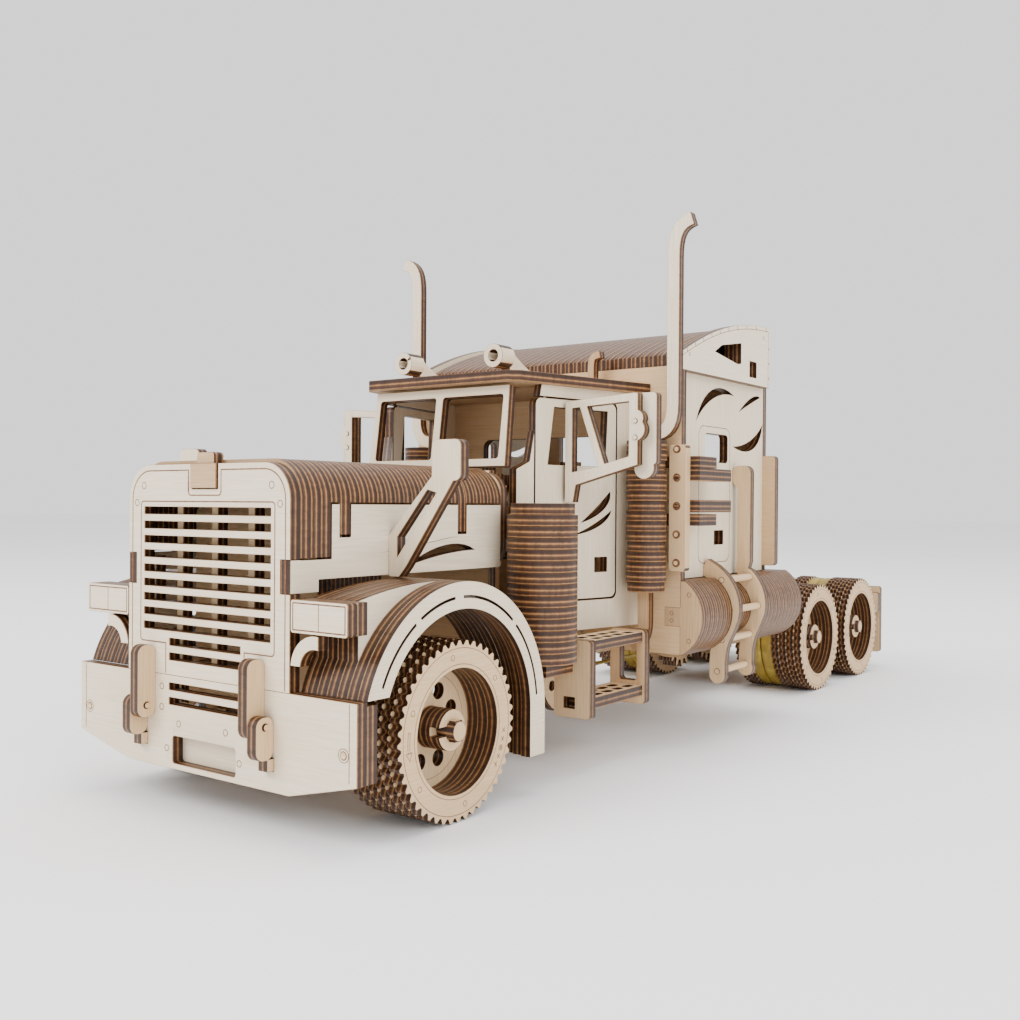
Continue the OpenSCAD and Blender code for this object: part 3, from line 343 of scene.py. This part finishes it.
def add_piece(name, bm, body, material, smooth=32):
    """Turns a bmesh into a finished piece that rides on a body."""
    mesh = bpy.data.meshes.new(name)
    bm.to_mesh(mesh)
    bm.free()
    mesh.materials.append(material)
    for polygon in mesh.polygons:
        polygon.use_smooth = True
    mesh.set_sharp_from_angle(angle=math.radians(smooth))
    piece = bpy.data.objects.new(name, mesh)
    bpy.context.scene.collection.objects.link(piece)
    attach(piece, body)
    return piece


def clean_copy(node):
    """A bmesh of a CAD node with whole faces instead of triangles."""
    bm = bmesh.new()
    bm.from_mesh(frame["nodes"][node].data)
    bmesh.ops.remove_doubles(bm, verts=bm.verts, dist=0.002 * MM)
    bmesh.ops.dissolve_limit(bm, angle_limit=math.radians(0.5), verts=bm.verts, edges=bm.edges)
    return bm


def break_edges(bm):
    """A tiny bevel on every sharp edge."""
    sharp = [e for e in bm.edges
             if len(e.link_faces) == 2 and e.calc_face_angle(0) > math.radians(50)]
    bmesh.ops.bevel(bm, geom=sharp, offset=EDGE_BREAK, offset_type="OFFSET", segments=1,
                    profile=0.5, affect="EDGES", clamp_overlap=False)


def wooden(node, keep=None):
    """The finished piece of a plywood node; keep chooses which of its islands stay."""
    bm = clean_copy(node)
    if keep:
        gone = [f for faces in islands(bm) if not keep(faces) for f in faces]
        bmesh.ops.delete(bm, geom=gone, context="FACES")
    break_edges(bm)
    describe_sheets(bm, node)
    piece = add_piece(node + "_sheets", bm, BODY[node], MATERIAL[SLOT[node]])
    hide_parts(node)


# ---------------------------------------------------------------- tyres
def ring_of_verts(bm, centre, side, x, radius_at, count):
    """One closed row of vertices round an axle."""
    row = []
    for k in range(count):
        turn = 2 * math.pi * k / count
        r = radius_at(turn)
        row.append(bm.verts.new((side * x, centre[0] + r * math.sin(turn),
                                 centre[1] - r * math.cos(turn))))
    return row


def skin(bm, pairs):
    """Quads between the two rows of each pair."""
    for row, after in pairs:
        count = len(row)
        for k in range(count):
            n = (k + 1) % count
            bm.faces.new((row[k], row[n], after[n], after[k]))


def join_rows(bm, rows):
    """Quads between neighbouring rows, and from the last row back to the first."""
    skin(bm, zip(rows, rows[1:] + rows[:1]))


def tread_radius(turn, radius, stagger):
    """Rounded teeth, close to the shape of a rounded square wave."""
    wave = math.cos(TEETH * turn + (math.pi if stagger else 0))
    return radius - TOOTH_H * (0.5 - 0.5 * math.tanh(2.0 * wave) / math.tanh(2.0))


def tyre_sheet(bm, centre, side, x_out, x_in, radius, rim, stagger=None):
    """One sheet of a tyre; stagger None gives a plain round one."""
    c = EDGE_BREAK

    def outer(turn):
        return radius if stagger is None else tread_radius(turn, radius, stagger)

    profile = [(lambda t: outer(t) - c, x_out), (outer, x_out - c), (outer, x_in + c),
               (lambda t: outer(t) - c, x_in), (lambda t: rim + c, x_in), (lambda t: rim, x_in + c),
               (lambda t: rim, x_out - c), (lambda t: rim + c, x_out)]
    join_rows(bm, [ring_of_verts(bm, centre, side, x, at, TEETH * 8) for at, x in profile])


def add_tyres(name, node, body, centre, sides, pattern, radius, rim):
    """All sheets of a tyre or of a pair of tyres, outer sheet first."""
    bm = bmesh.new()
    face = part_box(node)[1][0] if 1 in sides else -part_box(node)[0][0]
    for side in sides:
        for i, stagger in enumerate(pattern):
            tyre_sheet(bm, centre, side, face - i * PLY, face - (i + 1) * PLY + SHEET_GAP,
                       radius if stagger is not None else radius - BAND_FLOOR, rim, stagger)
    bmesh.ops.recalc_face_normals(bm, faces=bm.faces)
    describe_sheets(bm, name)
    return add_piece(name, bm, body, MATERIAL[SLOT[node]])


def rubber_ring(bm, centre, side, x0, x1, inner, outer):
    """A band with rounded shoulders that bulges a little in the middle."""
    steps = 10
    rows = []
    for k in range(steps):
        turn = 2 * math.pi * k / steps
        squash_x = math.copysign(abs(math.cos(turn)) ** 0.5, math.cos(turn))
        squash_r = math.copysign(abs(math.sin(turn)) ** 0.6, math.sin(turn))
        x = (x0 + x1) / 2 + squash_x * (x1 - x0) / 2
        r = (inner + outer) / 2 + squash_r * (outer - inner) / 2
        rows.append(ring_of_verts(bm, centre, side, x, lambda t, r=r: r, 96))
    join_rows(bm, rows)


# ---------------------------------------------------------------- marks on the faces
def facing_front(y):
    """Places (x, z, height) on a face that looks towards -Y."""
    return lambda a, b, h=0.0: Vector((a, y - h, b))


def facing_side(x, side):
    """Places (y, z, height) on a face that looks outwards."""
    return lambda a, b, h=0.0: Vector((side * (x + h), a, b))


def around(a, b, radius, steps):
    """Evenly spaced points on a circle."""
    turns = [2 * math.pi * k / steps for k in range(steps)]
    return [(a + radius * math.cos(t), b + radius * math.sin(t)) for t in turns]


class Marks:
    """Scorched lines, rings and pin heads on the faces of one body."""

    def __init__(self, body):
        self.body = body
        self.lines = bmesh.new()
        self.pins = bmesh.new()

    def line(self, put, points, closed=False, width=LINE_W):
        """A line of even width through the points, as a flat closed strip."""
        path = [Vector(p) for p in points]
        count = len(path)
        rows = []
        for i, p in enumerate(path):
            before = path[i - 1] if closed or i else None
            after = path[(i + 1) % count] if closed or i < count - 1 else None
            headings = [(q - r).normalized() for q, r in ((p, before), (after, p)) if q and r]
            heading = sum(headings, Vector((0, 0))).normalized()
            sharp = max(0.5, heading.dot(headings[0]))
            out = Vector((-heading.y, heading.x)) * width / 2 / sharp
            rows.append([self.lines.verts.new(put(q.x, q.y, h))
                         for q, h in ((p - out, -LINE_SINK), (p - out, LINE_RISE), (p + out, LINE_RISE),
                                      (p + out, -LINE_SINK))])
        pairs = list(zip(rows, rows[1:]))
        if closed:
            pairs.append((rows[-1], rows[0]))
        skin(self.lines, pairs)
        if not closed:
            self.lines.faces.new(rows[0])
            self.lines.faces.new(rows[-1][::-1])

    def ring(self, put, a, b, radius, width=LINE_W, steps=32):
        """A circle."""
        self.line(put, around(a, b, radius, steps), True, width)

    def pin(self, put, a, b, radius, rise=0.22 * MM):
        """A round pin head with a domed end, and a scorched ring round it."""
        foot = -0.3 * MM
        rows = []
        for r, h in ((radius, foot), (radius, rise * 0.55), (radius * 0.86, rise * 0.9),
                     (radius * 0.45, rise)):
            rows.append([self.pins.verts.new(put(u, v, h)) for u, v in around(a, b, r, 20)])
        skin(self.pins, zip(rows, rows[1:]))
        self.pins.faces.new(rows[0][::-1])
        self.pins.faces.new(rows[-1])
        self.ring(put, a, b, radius + 0.14 * MM, 0.26 * MM)

    def box(self, put, a0, a1, b0, b1):
        """A rectangle."""
        self.line(put, [(a0, b0), (a1, b0), (a1, b1), (a0, b1)], True)

    def finish(self):
        """Makes the two pieces: the lines and the pin heads."""
        for bm, name, key in ((self.lines, "engraving_", "line"), (self.pins, "pin_heads_", "dowel")):
            if bm.faces:
                bmesh.ops.recalc_face_normals(bm, faces=bm.faces)
                add_piece(name + self.body, bm, self.body, MATERIAL[key])
            else:
                bm.free()


def arc(a, b, radius, start, end, steps=10):
    """Points on part of a circle, angles in degrees."""
    turns = [math.radians(start + (end - start) * k / steps) for k in range(steps + 1)]
    return [(a + radius * math.cos(t), b + radius * math.sin(t)) for t in turns]


def on_circle(a, b, radius, turn):
    """The point of a circle at an angle in degrees."""
    return arc(a, b, radius, turn, turn, 1)[0]


def rounded(a0, a1, b0, b1, radius):
    """Outline of a rectangle with round corners."""
    r = radius
    return (arc(a0 + r, b0 + r, r, 180, 270, 5) + arc(a1 - r, b0 + r, r, 270, 360, 5)
            + arc(a1 - r, b1 - r, r, 0, 90, 5) + arc(a0 + r, b1 - r, r, 90, 180, 5))


def bezier(p, count):
    """Points on a cubic curve with four control points."""
    points = []
    for i in range(count + 1):
        t = i / count
        w = ((1 - t) ** 3, 3 * t * (1 - t) ** 2, 3 * t * t * (1 - t), t ** 3)
        points.append(tuple(sum(w[k] * p[k][axis] for k in range(4)) for axis in (0, 1)))
    return points


def mark_grille(marks):
    """The border, the opening's border and the four pins of the radiator shell."""
    put = facing_front(FRONT_Y)
    foot = BUMPER_TOP + 0.4 * MM
    inset, corner = 1.6 * MM, 9 * MM
    a, top = HOOD_X - inset, GRILLE_TOP - inset
    cap_x, cap_z = 6.4 * MM, GRILLE_TOP - 8 * MM
    r, nick = corner - inset, MM
    shoulder = arc(a - r, top - r, r, 0, 90)
    notch = [(cap_x, top), (cap_x, cap_z + nick)] + arc(cap_x - nick, cap_z + nick, nick, 0, -90, 4)
    half = [(a, foot)] + shoulder + notch
    marks.line(put, half + [(-x, z) for x, z in reversed(half)])
    wide, narrow = 26.2 * MM, 15.4 * MM
    high, step = GRILLE_TOP - 9.6 * MM, GRILLE_TOP - 46.4 * MM
    half = ([(narrow, foot), (narrow, step)] + arc(wide - nick, step + nick, nick, -90, 0, 4)
            + arc(wide - nick, high - nick, nick, 0, 90, 4))
    marks.line(put, half + [(-x, z) for x, z in reversed(half)])
    for side in (-1, 1):
        for x, drop in ((25 * MM, 5.5 * MM), (28 * MM, 10 * MM)):
            marks.ring(put, side * x, GRILLE_TOP - drop, 0.85 * MM, FINE_W, 20)


def mark_lamps(marks):
    """The two panes of each headlight."""
    put = facing_front(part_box("headlights")[0][1])
    x1, z1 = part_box("headlights")[1][0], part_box("headlights")[1][2]
    inset, gap, lamp_h = 0.75 * MM, 0.3 * MM, 7.8 * MM
    bottom, top = z1 - lamp_h + inset, z1 - inset
    for side in (-1, 1):
        ends = sorted((side * (HOOD_X + gap + inset), side * (x1 - inset)))
        marks.box(put, ends[0], ends[1], bottom, top)
        middle = (ends[0] + ends[1]) / 2
        marks.line(put, [(middle, bottom), (middle, top)], width=FINE_W)


def mark_bumper(marks):
    """Corner lines, the pin near each end and the pins of the sheets behind."""
    put = facing_front(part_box("front_bumper")[0][1])
    line_x, line_foot = BUMPER_X - 2.4 * MM, 17.2 * MM
    pin_x, pin_z = 49.4 * MM, 23.3 * MM
    for side in (-1, 1):
        line = [(side * line_x, BUMPER_TOP - 0.3 * MM), (side * line_x, line_foot)]
        marks.line(put, line, width=0.22 * MM)
        marks.pin(put, side * pin_x, pin_z, 0.8 * MM)
        marks.ring(put, side * pin_x, pin_z, 1.6 * MM, 0.18 * MM, 24)
    for x, z in ((-17, 32.2), (-17, 26.8), (-9.9, 23.1), (8.6, 23.2), (-14.8, 16.3), (13.8, 16.3)):
        marks.ring(put, x * MM, z * MM, 0.8 * MM, FINE_W, 20)


def mark_fenders(marks):
    """Three pins on the arch of each fender."""
    outer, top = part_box("fender_left")[1][0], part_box("fender_left")[1][2]
    arch_r, pin_r = 36.2 * MM, 34.5 * MM
    y, z = middle_y("front_wheel_left"), top - arch_r
    for side in (-1, 1):
        put = facing_side(outer - 0.1 * MM, side)
        for turn in (12, 90, 148):
            a, b = on_circle(y, z, pin_r, turn)
            marks.ring(put, a, b, 0.8 * MM, FINE_W, 20)
            marks.ring(put, a, b, 0.35 * MM, HAIR_W, 12)


def mark_sleeper(marks):
    """The door outline on the sleeper side, and the stitches along the roof cap."""
    wall = WALL_Y
    (_, _, sill), (_, back, top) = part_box("sleeper_caps")
    side_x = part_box("sleeper_sides")[1][0]
    crown = bezier([(wall + 0.6 * MM, top - 16.6 * MM), (wall + 20 * MM, top - 8 * MM),
                    (wall + 40 * MM, top - 0.4 * MM), (wall + 72.8 * MM, top)], 40)
    drop, stitch_w = 1.5 * MM, 0.34 * MM
    door = rounded(wall + 19.2 * MM, wall + 44.1 * MM, 60.2 * MM, 108 * MM, 3.5 * MM)
    hem = [(y, z - drop) for y, z in crown if y < back - drop]
    hem += [(back - drop, hem[-1][1]), (back - drop, sill + 0.4 * MM)]
    for side in (-1, 1):
        marks.line(facing_side(side_x, side), door, True, 0.26 * MM)
        put = facing_side(SLEEPER_X, side)
        marks.line(put, hem, width=FINE_W)
        for y, z in crown[2::4]:
            if y < back - drop:
                marks.line(put, [(y, z - 0.2 * MM), (y + 0.5 * MM, z - drop)], width=stitch_w)
        for k in range(3):
            z = sill + (3.4 + 5.6 * k) * MM
            marks.line(put, [(back - 0.1 * MM, z), (back - drop, z + 0.4 * MM)], width=stitch_w)
        for y, z in ((wall + 5.4 * MM, top - 17.4 * MM), (wall + 66 * MM, top - 4.4 * MM)):
            marks.ring(put, y, z, 0.6 * MM, 0.18 * MM, 16)


def mark_posts(marks):
    """Pin heads of the stack brackets, and the bar ends that come through the wall."""
    wall = facing_front(WALL_Y)
    post = facing_front(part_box("post_rails")[0][1] + 0.5 * MM)
    x = SLEEPER_X + 0.1 * MM
    first_z, pitch = 61.4, 9.3
    hatch = 0.42 * MM
    for side in (-1, 1):
        for i in range(5):
            z = (first_z + pitch * i) * MM
            marks.pin(post, side * x, z, 0.8 * MM, 0.45 * MM)
            marks.ring(post, side * x, z, 1.25 * MM, 0.3 * MM, 24)
        for z in (94.5 * MM, 75.5 * MM):
            for k in range(9):
                h = z + (k - 4) * hatch
                marks.line(wall, [(side * 50.8 * MM, h), (side * 54 * MM, h)], width=0.44 * MM)


def mark_tanks(marks):
    """Pins of the tank ends and of the ladder rungs."""
    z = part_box("fuel_tanks")[1][2] - 12 * MM
    wall = facing_front(WALL_Y)
    ladder_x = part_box("ladders")[1][0]
    ladder = facing_front(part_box("ladders")[0][1])
    for side in (-1, 1):
        for dz in (7.6, -7.6):
            marks.ring(wall, side * (SLEEPER_X + 3.2 * MM), z + dz * MM, 0.7 * MM, FINE_W, 16)
        for dz in (1.2, -1.2):
            marks.ring(wall, side * (SLEEPER_X - 3.2 * MM), z + dz * MM, 0.6 * MM, FINE_W, 16)
    for side in (-1, 1):
        for dx, rung_z in ((-6.6, 54.6), (-3.4, 44.4), (-6.4, 34.0), (-8.0, 23.0)):
            marks.pin(ladder, side * (ladder_x + dx * MM), rung_z * MM, 0.85 * MM, 0.12 * MM)


def mark_wheel(marks, centre_y, face, side):
    """Two rings, pins, five small crosses and an arrow on a tyre, and the disc's ring."""
    put = facing_side(face, side)
    centre = (centre_y, AXLE_Z)
    for r in (21.0 * MM, 16.9 * MM):
        marks.ring(put, *centre, r, HAIR_W, 96)
    for k in range(6):
        a, b = on_circle(*centre, 18.9 * MM, 38 + 60 * k)
        marks.ring(put, a, b, 0.7 * MM, HAIR_W, 16)
    cross = 0.55 * MM
    for k in range(5):
        a, b = on_circle(*centre, 19.0 * MM, -8 - 7 * k)
        marks.line(put, [(a - cross, b - cross), (a + cross, b + cross)], width=FINE_W)
        marks.line(put, [(a - cross, b + cross), (a + cross, b - cross)], width=FINE_W)
    arrow_w, tail, neck, head = 0.14 * MM, 172, 187, 193
    shaft = arc(*centre, 19.3 * MM, tail, neck, 6) + arc(*centre, 18.6 * MM, neck, tail, 6)
    marks.line(put, shaft, True, arrow_w)
    tip = on_circle(*centre, 18.95 * MM, head)
    wings = [on_circle(*centre, r * MM, neck) for r in (19.9, 18.0)]
    marks.line(put, [wings[0], tip, wings[1]], True, arrow_w)
    marks.ring(facing_side(face - DISC_DEPTH, side), *centre, 13.6 * MM, 0.14 * MM, 72)


# ---------------------------------------------------------------- build
FRONT_WHEELS = {"front_wheel_left": 1, "front_wheel_right": -1}
REAR_TYRES = {"rear_tyres_a": "axle_a", "rear_tyres_b": "axle_b"}
BANDS = ("tyre_bands_a", "tyre_bands_b")
STAGGER = (False, True)


def not_tyre(faces):
    """True for the spoked disc and barrel of a front wheel."""
    return max(v.co.z for f in faces for v in f.verts) < AXLE_Z + RIM + 0.5 * MM


for node in frame["nodes"]:
    if node in REAR_TYRES or node in BANDS or node == "motor_bands":
        continue
    wooden(node, not_tyre if node in FRONT_WHEELS else None)

for node, side in FRONT_WHEELS.items():
    centre = (middle_y(node), AXLE_Z)
    pattern = [STAGGER[i % 2] for i in range(6)]
    add_tyres(node + "_tyre", node, BODY[node], centre, (side,), pattern, AXLE_Z, RIM)

for node, body in REAR_TYRES.items():
    centre = (middle_y(node), AXLE_Z)
    pattern = [STAGGER[i % 2] for i in range(4)] + [None] * 3 + [STAGGER[i % 2] for i in range(2)]
    piece = add_tyres(node + "_treads", node, body, centre, (1, -1), pattern, AXLE_Z, RIM)
    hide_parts(node)

for node in BANDS:
    bm = bmesh.new()
    for side in (1, -1):
        for k in range(2):
            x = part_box(node)[1][0] - k * BAND_W
            rubber_ring(bm, (middle_y(node), AXLE_Z), side, x - (BAND_W - BAND_GAP), x,
                        AXLE_Z - BAND_FLOOR, AXLE_Z - BAND_TOP)
    bmesh.ops.recalc_face_normals(bm, faces=bm.faces)
    piece = add_piece(node + "_rubber", bm, BODY[node], MATERIAL["rubber_band"], 60)
    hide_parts(node)


def motor_strand(bm, x, y0, y1, z, radius):
    """One stretched strand with a slow twist."""
    steps, sides = 60, 10
    rows = []
    for i in range(steps + 1):
        t = i / steps
        twist = 2.5 * math.pi * t
        row = []
        for k in range(sides):
            turn = 2 * math.pi * k / sides
            u, v = 0.95 * radius * math.cos(turn), 0.55 * radius * math.sin(turn)
            row.append(bm.verts.new((x + u * math.cos(twist) - v * math.sin(twist),
                                     y0 + (y1 - y0) * t,
                                     z + u * math.sin(twist) + v * math.cos(twist))))
        rows.append(row)
    skin(bm, zip(rows, rows[1:]))
    bm.faces.new(rows[0])
    bm.faces.new(rows[-1][::-1])


low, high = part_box("motor_bands")
strand_h = 0.6 * MM
bm = bmesh.new()
for z in (low[2] + strand_h, high[2] - strand_h):
    motor_strand(bm, (low[0] + high[0]) / 2, low[1], high[1], z, (high[0] - low[0]) / 2)
bmesh.ops.recalc_face_normals(bm, faces=bm.faces)
piece = add_piece("motor_bands_rubber", bm, "root", MATERIAL["rubber_band"], 60)
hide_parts("motor_bands")

marks = Marks("root")
for draw in (mark_grille, mark_lamps, mark_bumper, mark_fenders, mark_sleeper, mark_posts, mark_tanks):
    draw(marks)
marks.finish()

for node, side in FRONT_WHEELS.items():
    marks = Marks(BODY[node])
    mark_wheel(marks, middle_y(node), abs(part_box(node)[side > 0][0]), side)
    marks.finish()
for node, body in REAR_TYRES.items():
    marks = Marks(body)
    for side in (1, -1):
        mark_wheel(marks, middle_y(node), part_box(node)[1][0], side)
    marks.finish()


# ---------------------------------------------------------------- stage
def floor():
    """A wide pale floor."""
    mat, shader, make, link = new_material("pale_floor")
    place = make("ShaderNodeTexCoord").outputs["Object"]
    haze = make("ShaderNodeTexNoise", Scale=3.0, Detail=2.0)
    link(place, haze.inputs["Vector"])
    tone = ramp(make, [(0.3, (0.94, 0.94, 0.94)), (0.7, (0.97, 0.97, 0.97))])
    link(haze.outputs["Fac"], tone.inputs[0])
    link(tone.outputs[0], shader.inputs["Base Color"])
    shader.inputs["Roughness"].default_value = 0.9
    bm = bmesh.new()
    bmesh.ops.create_grid(bm, x_segments=8, y_segments=8, size=6)
    mesh = bpy.data.meshes.new("floor")
    bm.to_mesh(mesh)
    bm.free()
    mesh.materials.append(mat)
    plane = bpy.data.objects.new("floor", mesh)
    bpy.context.scene.collection.objects.link(plane)


def area_light(name, place, target, size, power, colour=(1, 1, 1)):
    """A round soft light that looks at the target."""
    data = bpy.data.lights.new(name, "AREA")
    data.shape = "DISK"
    data.size = size
    data.energy = power
    data.color = colour
    light = bpy.data.objects.new(name, data)
    light.location = place
    light.rotation_euler = (Vector(target) - Vector(place)).to_track_quat("-Z", "Y").to_euler()
    bpy.context.scene.collection.objects.link(light)


def studio():
    """Even white surroundings and three soft lights."""
    world = bpy.data.worlds.new("studio")
    world.use_nodes = True
    sky = world.node_tree.nodes["Background"]
    sky.inputs["Color"].default_value = (1.0, 1.0, 1.0, 1)
    sky.inputs["Strength"].default_value = 1.4
    bpy.context.scene.world = world
    middle = (0, 0, 0.06)
    area_light("key", (-0.45, -1.1, 0.95), middle, 0.7, 16, (1.0, 0.97, 0.93))
    area_light("side", (1.2, -0.35, 0.75), middle, 0.8, 8, (0.95, 0.98, 1.0))
    area_light("top", (0.1, 0.2, 1.4), middle, 1.0, 10)


def camera():
    """The photograph's viewpoint: low, in front of the left corner, with a short lens."""
    data = bpy.data.cameras.new("camera")
    data.lens = 38.5
    data.clip_start = 0.01
    cam = bpy.data.objects.new("camera", data)
    yaw, pitch, roll = 0.6338933, -0.0054294, 0.0068414
    ahead = Vector((-math.sin(yaw) * math.cos(pitch), math.cos(yaw) * math.cos(pitch), math.sin(pitch)))
    right = Vector((math.cos(yaw), math.sin(yaw), 0))
    up = right.cross(ahead)
    turned_right = right * math.cos(roll) + up * math.sin(roll)
    turned_up = up * math.cos(roll) - right * math.sin(roll)
    world = cam.matrix_world.to_3x3()
    world.col[0], world.col[1], world.col[2] = turned_right, turned_up, -ahead
    cam.matrix_world = world.to_4x4()
    cam.location = (0.224673, -0.364735, 0.080294)
    bpy.context.scene.collection.objects.link(cam)
    bpy.context.scene.camera = cam


floor()
studio()
camera()
